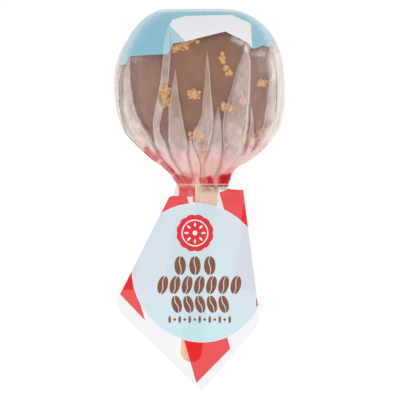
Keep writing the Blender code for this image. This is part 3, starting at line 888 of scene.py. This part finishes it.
def to_sheet(u, v):
    """Where the point of the film's front at u, v lies on the flat sheet."""
    angle = math.radians(around(u, v))
    return Vector((math.cos(angle), math.sin(angle))) * np.interp(-v, -BAG_LEVELS, BAG_REACHES)


def light_creases(x, y):
    """Where the bag's sharp creases run on the sheet, as painted highlight lines."""
    whole = 0
    for u0, v0, u1, v1 in LIGHT_CREASES:
        start, end = to_sheet(u0, v0), to_sheet(u1, v1)
        side = Vector((end.y - start.y, start.x - end.x)).normalized()
        off = (x * side.x + y * side.y - side.dot(start)).maths("ABSOLUTE")
        line = off.ramp(0, CREASE_HALF, 1, 0) * beyond(x, y, start, start + side)
        whole = (line * beyond(x, y, end, end + side, left=True)).most(whole)
    return whole * CREASE_HIGHLIGHT


def reach_limit(share, corners, elsewhere):
    """How far from the sheet's middle an edge lies, from its corners on the front, by share of the turn."""
    marks = []
    for (u0, v0), (u1, v1) in zip(corners, corners[1:]):
        for k in range(EDGE_STEPS):
            x, y = to_sheet(u0 + (u1 - u0) * k / EDGE_STEPS, v0 + (v1 - v0) * k / EDGE_STEPS)
            marks.append(((math.atan2(y, x) + math.pi) / (2 * math.pi), math.hypot(x, y) / SHEET_UNIT))
    first, last, level = marks[0][0] - 0.001, marks[-1][0] + 0.001, elsewhere / SHEET_UNIT
    marks = [(0.0, level), (first, level), *marks, (last, level), (1.0, level)]
    limit = share.wire.node("ShaderNodeFloatCurve", Value=share)
    mapping = limit.socket.node.mapping
    points = mapping.curves[0].points
    points[0].location, points[1].location = marks[0], marks[-1]
    for mark in marks[1:-1]:
        points.new(*mark)
    for point in points:
        point.handle_type = "VECTOR"
    mapping.update()
    return limit * SHEET_UNIT


def bag_material():
    wire = new_material("printed_film", IOR=1.45, Specular_IOR_Level=0.3)
    x, y = sheet_parts(wire)
    reach = distance(x, y)
    calm = reach.ramp(*GATHER_REACH, 1.0, 0.35)
    veil, red = wire.attribute("veil"), wire.attribute("red")
    # The crease lines add painted highlights to the film's haze.
    hazed = {"Veil": veil + light_creases(x, y), "Mottle": calm, "Red": red, "Depth": red.ramp(0.5, 1)}
    haze = haze_on(wire, calm * 1.1, **hazed, Haze_Color=HAZE)
    share = y.maths("ARCTAN2", x).ramp(-math.pi, math.pi)
    printed = reach < reach_limit(share, FIELD_EDGE, BACK_FIELD)
    panel = (reach > reach_limit(share, PANEL_TOP, NO_PANEL)) * (reach < reach_limit(share, PANEL_SIDES, 0))
    blue = wire.place().speckle(60, 2).ramp(0.3, 0.7).blend(BLUE, BLUE_PALE)
    # Painted light on the blue: a facet lit paler, a sheen towards the outline and on the foot seen edge on,
    # and along the foot's crease a pale line that is partly crease whitening and partly a painted highlight.
    spots = [to_sheet(*spot) for spot in LIT_FACET_LINES]
    facet = beyond(x, y, *spots[:2]) * beyond(x, y, *spots[2:])
    crease_whitening_and_highlight = (reach - FOOT_CREASE).maths("ABSOLUTE").ramp(0.1, 0.7, 0.55, 0)
    foot_sheen = reach.ramp(FOOT_CREASE - 0.8, FOOT_CREASE, reach.ramp(8, 18, 0.25, 0.62), 0)
    rim = wire.facing().ramp(0.72, 0.94, 0, 0.5)
    pale = veil.ramp(0.12, 0.3, 0, 0.35).most(facet * 0.3, rim, crease_whitening_and_highlight, foot_sheen)
    ink = (panel * printed).blend(pale.blend(blue, PANEL_WHITE), PANEL_WHITE)
    crinkle = haze.beside("Crinkle")
    return wire.surface(
        Base_Color=printed.blend(haze, ink),
        Alpha=one_sided(wire, haze.beside("Cover").most(printed * INK_COVER)),
        Roughness=crinkle.ramp(0.3, 0.7, 0.18, 0.4),
        Normal=(crinkle * calm).bump(0.35, 0.0005),
    )


bag = build_bag().piece("film_bag", bag_material())
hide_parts("wrap")
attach(bag, "root")


# ---- The tape ----
# One turn of narrow clear tape, cut from a roll and drawn tight, holds the gathered film to the stick. Its
# upper edge shows as a pale line, a painted highlight, and where the tape is seen edge on it is painted
# denser, partly as a reflection.
TAPE_TINT = (250, 222, 206)
TAPE_TOP = -45.0
TAPE_HIGHLIGHT_WIDTH = 0.3
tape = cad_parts["tape"]


def tape_material():
    wire = new_material("clear_tape", IOR=1.45, Roughness=0.16, Specular_IOR_Level=0.4)
    place = wire.place()
    along = (LAY.to_3x3() @ Vector((0, 1, 0))).normalized()
    top = (LAY @ Vector((0, TAPE_TOP, 0))).dot(along)
    level = wire.maths("DOT_PRODUCT", place, along, kind="ShaderNodeVectorMath").beside("Value")
    # The pale line along the upper edge is a painted highlight; the denser cover seen edge on is partly a
    # painted reflection.
    edge = level.ramp(top - 2 * TAPE_HIGHLIGHT_WIDTH * MM, top - TAPE_HIGHLIGHT_WIDTH * MM, 0, 0.6)
    streak = place.speckle(700, 3).ramp(0.42, 0.66, 0.02, 0.14)
    cover = (streak + wire.facing() ** 3.0 * 0.6).most(edge).ramp(0, 1)
    return wire.surface(
        Base_Color=TAPE_TINT, Alpha=one_sided(wire, cover), Normal=place.speckle(500, 3).bump(0.3, 0.0004)
    )


tape.data.materials.clear()
tape.data.materials.append(tape_material())


# ---- The film skirt ----
# The four corners of the same sheet, below the tape. The front corner hangs as a flat kite over the stick
# and carries the label: a pale blue disc on red stripes. The other corners are folded behind it.
LEFT_TOP = (-13.3, -51.2)
RIGHT_TOP = (20.8, -47.8)
LEFT_CORNER = (-37.4, -98.8)
RIGHT_CORNER = (28.4, -107.4)
TIP = (1.8, -140.3)
LEFT_CUT_SLOPE = 0.966
RIGHT_CUT_SLOPE = 1.17
CORNER_ROUNDING = 60
TIP_ANGLE = 81.4
BACK_HEM = -93.7
TIP_LIFT = 3.2
LIFT_START = -112.0
FRONT_DEPTH = 1.9
FRONT_EASE = 0.14
BACK_DEPTH = 2.3
BACK_WAVE = 0.45
FOLD_SQUARENESS = 4
RIGHT_COLUMNS = 50
LEFT_COLUMNS = 60
BACK_COLUMNS = 96
SHOULDER_ROWS = 7
HANG_ROWS = 60
SKIRT_START = -45.7
NECK_FLARE = 1.7
SKIRT_VEIL = 0.21
SKIRT_HAZE = (196, 194, 196)
# Where the skirt is hazier or clearer than round it: the middle, the reach each way and how much. The
# first is the loose lip of film beside the tape, which is on the front alone, and its whiteness is partly a
# painted highlight. The second, clearer over the stick's end, is painted light that brightens the stick's
# tip.
LIP = ((11.9, -47.1), (2.8, 0.9), 0.75)
LIP_LEAN = 0.1
OVER_STICK_END = ((-4.6, -120.5), (4.4, 6.5), -0.17)
# The print: red stripes that lean, the disc, and the bare margins along the cut edges.
STRIPE_PERIOD = 35.5
STRIPE_HALF = 10.05
STRIPE_LEVEL = -86.0
# Middle, lean and stretch of the stripes on the front and on the layer behind it.
FRONT_STRIPES = (-5.1, 0.285, 1.0)
BACK_STRIPES = (25.9, -0.178, 1.118)
RED_COVER = 0.9
STICK_END_MIDDLE = (-3.1, -122.0)
STICK_EDGE = (4.8, 5.1)
# Over the stick the red is denser: painted shade of the stick lying under the red film.
RED_SHADED_OVER_STICK = 0.965
RIGHT_MARGIN = ((-1.2, -137.0), (15.5, -120.1), (27.5, -101.2))
LEFT_MARGIN = ((-35.9, -95.7), (-25.4, -106.7))
LEFT_MARGIN_END = -18
TOP_MARGIN = ((9.8, -49.0), (14.3, -47.4))
TOP_MARGIN_LEVEL = -50.6
# Boxes of red at the shoulder and at the right edge, as left, right, low and high.
SHOULDER_RED = (-8.8, -1.2, -50.9, 0)
SHOULDER_STRIP = (-2.4, -1.2, -53.4, 0)
EDGE_SLIVER = (26.7, 100, -101.2, -97.8)
BACK_FLANK = ((21.5, -53.5), (19.8, -62.0))
BACK_FLANK_END = -66
BACK_STRIPES_START = -60
DISC_CENTRE = (0.4, -85.9)
DISC_RADIUS = 32.0
DISC_SQUEEZE = 0.965
DISC_SHEAR = 0.045
DISC_RIM = 0.35
DISC_COVER = 0.94
DISC_BLUE = (208, 229, 237)
DISC_LILAC = (215, 223, 236)
DISC_CYAN = (200, 230, 238)


def skirt_lift(v):
    return TIP_LIFT * smooth_step((LIFT_START - v) / (LIFT_START - TIP[1]))


def hem_point(across):
    """Where the line of the skirt that starts at this share of its width meets the kite's cut edge."""
    tip_share = math.cos(math.radians(TIP_ANGLE))
    right = across >= tip_share
    corner, slope = (RIGHT_CORNER, RIGHT_CUT_SLOPE) if right else (LEFT_CORNER, LEFT_CUT_SLOPE)
    share = abs(across - tip_share) / (1 - tip_share if right else 1 + tip_share)
    u = TIP[0] + (corner[0] - TIP[0]) * share
    cut = TIP[1] + abs(u - TIP[0]) * slope
    return u, cut + (corner[1] - cut) * abs(across) ** CORNER_ROUNDING


def skirt_angles():
    """Angles round the skirt, with one exactly at the tip and one at each fold."""
    right = np.linspace(0, TIP_ANGLE, RIGHT_COLUMNS, endpoint=False)
    left = np.linspace(TIP_ANGLE, 180, LEFT_COLUMNS, endpoint=False)
    back = np.linspace(180, 360, BACK_COLUMNS, endpoint=False)
    return np.radians(np.concatenate([right, left, back]))


def skirt_point(angle, share):
    """A point of the skirt, share of the way from its shoulders to its hem."""
    across = math.cos(angle)
    side = (1 + across) / 2
    top_u, top_v = (left + (right - left) * side for left, right in zip(LEFT_TOP, RIGHT_TOP))
    hem_u, hem_v = hem_point(across)
    is_back = math.sin(angle) < -1e-6
    reach = share * min((top_v - BACK_HEM) / (top_v - hem_v), 1) if is_back else share
    u, v = top_u + (hem_u - top_u) * reach, top_v + (hem_v - top_v) * reach
    if is_back:
        w = BACK_WAVE * math.sin(across * 9 + 2) * smooth_step(share * 2) - BACK_DEPTH
    else:
        w = FRONT_DEPTH + FRONT_EASE * noise.noise(Vector((u * 0.05, v * 0.03, 2.0)))
    return Vector((u, v, w * dome(abs(across), FOLD_SQUARENESS) + skirt_lift(v)))


def skirt_rows():
    """Rows of points from inside the tape over the shoulders and down to the hem."""
    rows = []
    angles = skirt_angles()
    for share in (j / SHOULDER_ROWS for j in range(SHOULDER_ROWS)):
        row = []
        for angle in angles:
            neck = bag_point(angle, SKIRT_START, -0.35)
            neck.x -= NECK_FLARE * max(-math.cos(angle), 0) * min(share * 3, 1)
            shoulder = skirt_point(angle, 0)
            point = neck.lerp(shoulder, share ** 9)
            point.y = neck.y + (shoulder.y - neck.y) * share
            point.z += 0.35 * math.sin(math.pi * share) * noise.noise(Vector((point.x * 0.45, 3, share)))
            row.append(point)
        rows.append(row)
    return rows + [[skirt_point(angle, j / HANG_ROWS) for angle in angles] for j in range(HANG_ROWS + 1)]


def spot_haze(x, y, spot):
    """How much haze a spot adds at a place on the skirt."""
    (at_x, at_y), (reach_x, reach_y), more = spot
    return more * math.exp(-(((x - at_x) / reach_x) ** 4) - (((y - at_y) / reach_y) ** 4))


def build_skirt():
    skirt = Film("behind")
    rows = skirt_rows()
    for row in rows:
        for k, point in enumerate(row):
            behind = k > RIGHT_COLUMNS + LEFT_COLUMNS or k == 0
            # Over the stick's end the film is clearer: painted light on the stick's tip.
            veil = SKIRT_VEIL + spot_haze(point.x, point.y, OVER_STICK_END)
            if not behind:
                # The lip's extra haze is partly a painted highlight.
                veil += spot_haze(point.x, point.y + LIP_LEAN * (point.x - LIP[0][0]), LIP)
            skirt.add(point, point.xy / SHEET_UNIT, veil, float(behind))
    skirt.faces = grid_faces(len(rows), len(rows[0]))
    return skirt


def inside_stripes(x, y, centre, slant, stretch):
    """1 inside the leaning red stripes, of which one has its middle at centre on STRIPE_LEVEL."""
    along = (x - (STRIPE_LEVEL - y) * slant - centre) * stretch
    return along.maths("PINGPONG", STRIPE_PERIOD / 2) < STRIPE_HALF


def inside_box(x, y, left, right, low, high):
    return (x > left) * (x < right) * (y > low) * (y < high)


def from_stick(x, y):
    """How far a place on the skirt lies from the middle line of the stick's lower part."""
    x, y = x - STICK_END_MIDDLE[0], y - STICK_END_MIDDLE[1]
    lean_x, lean_y = math.sin(STICK_LEAN), math.cos(STICK_LEAN)
    below = (x * lean_x + y * lean_y).maths("MINIMUM", 0)
    return distance(x * lean_y - y * lean_x, below)


def skirt_material():
    wire = new_material("label_film", IOR=1.45, Specular_IOR_Level=0.2)
    x, y = sheet_parts(wire)
    place = wire.place()
    behind = wire.attribute("behind") > 0.5
    on_front = 1 - behind
    margins = beyond(x, y, *RIGHT_MARGIN[:2], left=True) * beyond(x, y, *RIGHT_MARGIN[1:], left=True)
    margins = margins * beyond(x, y, *LEFT_MARGIN, left=True).most(x > LEFT_MARGIN_END)
    margins = margins * (y < TOP_MARGIN_LEVEL).most(beyond(x, y, *TOP_MARGIN))
    off_y = y - DISC_CENTRE[1]
    off_x = (x - DISC_CENTRE[0] + off_y * DISC_SHEAR) / DISC_SQUEEZE
    reach = distance(off_x, off_y)
    sliver = inside_box(x, y, *EDGE_SLIVER)
    disc = (reach < DISC_RADIUS) * on_front * (1 - sliver)
    rim = (reach > DISC_RADIUS - DISC_RIM) * disc
    corner = inside_box(x, y, *SHOULDER_RED)
    creased = place.speckle(420, 3).ramp(0.4, 0.6, 0.05, 0.8)
    red_front = inside_stripes(x, y, *FRONT_STRIPES) * margins * on_front * (1 - disc)
    red_front = red_front.most(corner * on_front * creased, sliver * on_front)
    flank = beyond(x, y, *BACK_FLANK, left=True) * (y > BACK_FLANK_END)
    low_rear = inside_stripes(x, y, *BACK_STRIPES) * (y < BACK_STRIPES_START)
    red_rear = corner.most(inside_box(x, y, *SHOULDER_STRIP), flank, low_rear)
    # The denser red over the stick is painted shade.
    red_shaded_over_stick = from_stick(x, y).ramp(*STICK_EDGE, RED_SHADED_OVER_STICK, RED_COVER)
    red = (red_front + red_rear * behind) * red_shaded_over_stick
    hazed = {"Veil": wire.attribute("veil"), "Mottle": 0.2, "Red": red, "Depth": 0.0}
    haze = haze_on(wire, 0.35, **hazed, Haze_Color=SKIRT_HAZE)
    soft = place.stretched((1, 0.35, 1)).speckle(45, 1, 0.3)
    soft = (soft + off_x.maths("ABSOLUTE").ramp(4, 28, -0.25, 0.3)).ramp(0.2, 0.85)
    pale = y.ramp(-95, -115).blend(soft.blend(DISC_BLUE, DISC_LILAC), DISC_CYAN)
    pale = (rim * 0.8).blend(pale, PANEL_WHITE)
    crinkle = haze.beside("Crinkle")
    return wire.surface(
        Base_Color=disc.blend(haze, pale),
        Alpha=one_sided(wire, haze.beside("Cover").most(disc * DISC_COVER)),
        Roughness=crinkle.ramp(0.3, 0.7, 0.16, 0.32),
        Normal=crinkle.bump(0.08, 0.0004),
    )


skirt = build_skirt().piece("film_skirt", skirt_material())
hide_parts("wrap")
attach(skirt, "root")


# ---- The label's ornament ----
# Solid colours printed on the disc: a red rosette with a white ring of dots, rows of brown cocoa beans
# under it, and a line of small dots and dashes.
ROSETTE_CENTRE = (-1.4, -67.6)
ROSETTE_RADIUS = 8.6
SCALLOPS = 12
SCALLOP_DEPTH = 0.06
RING_RADIUS = 5.9
RING_WIDTH = 0.55
RING_STEPS = 72
DOT_RING_RADIUS = 3.9
DOTS = 8
ROSETTE_RED = (232, 14, 34)
RING_WHITE = (250, 244, 244)
BEAN_BROWN = (134, 76, 40)
PRINT_RISE = 0.07
# Rows of beans: level, places across, half length and half width, and the beans' lean in degrees.
BEAN_ROWS = (
    (-82.6, (-8.2, -1.4, 5.4), 4.3, 2.4, 90),
    (-91.5, (-16.2, -10.6, -5.0, 0.6, 6.2, 11.8, 17.4), 4.2, 2.1, 76),
    (-100.4, (-9.8, -4.4, 1.0, 6.4, 11.8), 4.0, 2.05, 104),
)
BEAN_SLIT = 0.22
BEAN_BEND = 0.45
DASH_LEVEL = -107.4
DASH_PLACES = tuple(-13.0 + 2.3 * i for i in range(13))
DASH, DOT = 1.7, 0.6


def polar(centre, reach, turn):
    return centre[0] + reach * math.cos(turn), centre[1] + reach * math.sin(turn)


class Print:
    """Collects flat printed shapes and lays them on the front of the skirt."""

    def __init__(self, name, colour, rise=PRINT_RISE):
        self.name, self.colour, self.rise = name, colour, rise
        self.points, self.faces = [], []

    def add(self, outline):
        """A filled shape from its outline, as rings towards its middle so that it follows the film."""
        middle = sum((Vector(spot) for spot in outline), Vector((0, 0))) / len(outline)
        rings = []
        for share in (1.0, 0.66, 0.33):
            first = len(self.points)
            self.points += [middle.lerp(Vector(spot), share) for spot in outline]
            rings.append(closed(list(range(first, len(self.points)))))
        for outer, inner in zip(rings, rings[1:]):
            self.faces += quads(outer, inner)
        self.points.append(middle)
        self.faces += [(a, b, len(self.points) - 1) for a, b in zip(rings[-1], rings[-1][1:])]

    def ring(self, centre, radius, width):
        turns = [2 * math.pi * k / RING_STEPS for k in range(RING_STEPS)]
        rings = []
        for reach in (radius + width / 2, radius - width / 2):
            first = len(self.points)
            self.points += [polar(centre, reach, turn) for turn in turns]
            rings.append(closed(list(range(first, len(self.points)))))
        self.faces += quads(*rings)

    def laid(self, surface):
        wire = new_material(self.name + "_ink", IOR=1.45, Roughness=0.3)
        darker = tuple(round(part * 0.94) for part in self.colour)
        tone = wire.place().speckle(300, 3).ramp(0.3, 0.7)
        material = wire.surface(Base_Color=tone.blend(self.colour, darker))
        raised = []
        for x, y in self.points:
            hit, normal, _, _ = surface.ray_cast(LAY @ Vector((x, y, 40)), LAY.to_3x3() @ Vector((0, 0, -1)))
            raised.append(LAY.inverted() @ (hit + normal * self.rise * MM))
        return laid_piece(self.name, raised, self.faces, material)


def leaning(spots, centre, lean):
    """An outline round the origin, turned by this many degrees and moved to its centre."""
    turn = math.radians(lean)
    cos, sin = math.cos(turn), math.sin(turn)
    return [(centre[0] + x * cos - y * sin, centre[1] + x * sin + y * cos) for x, y in spots]


def oval(centre, length, width, lean, steps):
    turns = [2 * math.pi * k / steps for k in range(steps)]
    return leaning([(length * math.cos(a), width * math.sin(a)) for a in turns], centre, lean)


def bean_halves(centre, length, width, lean):
    """A cocoa bean: two halves with a bent slit between them."""
    for side in (1, -1):
        spots = []
        for a in (math.pi * k / 18 for k in range(19)):
            spots.append((length * math.cos(a), side * (width * math.sin(a) + BEAN_SLIT)))
        for x in (length * (k / 6 - 1) for k in range(1, 12)):
            spots.append((x, side * BEAN_SLIT + BEAN_BEND * math.sin(math.pi * x / length)))
        yield leaning(spots[::side], centre, lean)


def make_ornament():
    mesh = skirt.data
    faces = [face.vertices for face in mesh.polygons]
    surface = BVHTree.FromPolygons([vertex.co for vertex in mesh.vertices], faces)
    red = Print("rosette", ROSETTE_RED)
    edge = []
    for turn in (2 * math.pi * k / (SCALLOPS * 10) for k in range(SCALLOPS * 10)):
        reach = 1 - SCALLOP_DEPTH + SCALLOP_DEPTH * abs(math.sin(SCALLOPS * turn / 2))
        edge.append(polar(ROSETTE_CENTRE, ROSETTE_RADIUS * reach, turn))
    red.add(edge)
    white = Print("rosette_ring", RING_WHITE, 2 * PRINT_RISE)
    white.ring(ROSETTE_CENTRE, RING_RADIUS, RING_WIDTH)
    for turn in (2 * math.pi * k / DOTS for k in range(DOTS)):
        white.add(oval(polar(ROSETTE_CENTRE, DOT_RING_RADIUS, turn), 1.0, 0.5, math.degrees(turn), 20))
    white.add(oval(ROSETTE_CENTRE, 1.1, 1.1, 0, 24))
    brown = Print("cocoa_beans", BEAN_BROWN)
    for level, places, length, width, lean in BEAN_ROWS:
        for place in places:
            for half in bean_halves((place, level), length, width, lean):
                brown.add(half)
    for k, place in enumerate(DASH_PLACES):
        brown.add(oval((place, DASH_LEVEL), DOT if k % 2 else DASH, DOT, 90, 24))
    return [shape.laid(surface) for shape in (red, white, brown)]


for shape in make_ornament():
    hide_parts("wrap")
    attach(shape, "root")


# ---- The table, the light and the camera ----
# A white light table, a broad soft light from the front and one from each side, and a long lens that
# looks squarely at the lolly's front.
TABLE_HALF = 3.0
TABLE_GREY = (0.09, 0.09, 0.09, 1)
WHITE = (1, 1, 1, 1)
corners = [Vector((x, y, 0)) * TABLE_HALF for x, y in ((-1, -1), (1, -1), (1, 1), (-1, 1))]
lit = {"Base_Color": TABLE_GREY, "Roughness": 0.9, "Emission_Color": WHITE, "Emission_Strength": 0.92}
table_white = new_material("table_white", **lit).material
table = laid_piece("table", [LAY.inverted() @ corner for corner in corners], [(0, 1, 2, 3)], table_white)


def soft_light(name, towards, size, power):
    """A square area light a metre from the lolly's middle in the direction towards, facing it."""
    data = bpy.data.lights.new(name, "AREA")
    data.size = size
    data.energy = power
    lamp = bpy.data.objects.new(name, data)
    bpy.context.scene.collection.objects.link(lamp)
    lamp.location = Vector(towards).normalized()
    lamp.rotation_euler = lamp.location.to_track_quat("Z", "Y").to_euler()


soft_light("front_light", (0.1, -0.6, 1.0), 1.2, 2.7)
soft_light("left_light", (-1.0, -0.1, 0.5), 0.8, 1)
soft_light("right_light", (1.0, 0.1, 0.5), 0.8, 1)

world = bpy.data.worlds.new("studio")
bpy.context.scene.world = world
world.use_nodes = True
world.node_tree.nodes["Background"].inputs["Color"].default_value = WHITE
world.node_tree.nodes["Background"].inputs["Strength"].default_value = 0.75

VIEW_MIDDLE = Vector((0.92, -52.44, 0))
FRAME_WIDTH = 0.184
CAMERA_DISTANCE = 3.0
camera_data = bpy.data.cameras.new("camera")
camera = bpy.data.objects.new("camera", camera_data)
bpy.context.scene.collection.objects.link(camera)
camera.matrix_world = (
    Matrix.Translation(LAY @ VIEW_MIDDLE)
    @ Matrix.Rotation(PITCH, 4, "X")
    @ Matrix.Translation((0, 0, CAMERA_DISTANCE))
)
camera_data.sensor_width = 36
camera_data.lens = camera_data.sensor_width * CAMERA_DISTANCE / FRAME_WIDTH
camera_data.clip_end = 20
bpy.context.scene.camera = camera
bpy.context.scene.view_settings.view_transform = "Standard"
bpy.context.scene.cycles.transparent_max_bounces = 64
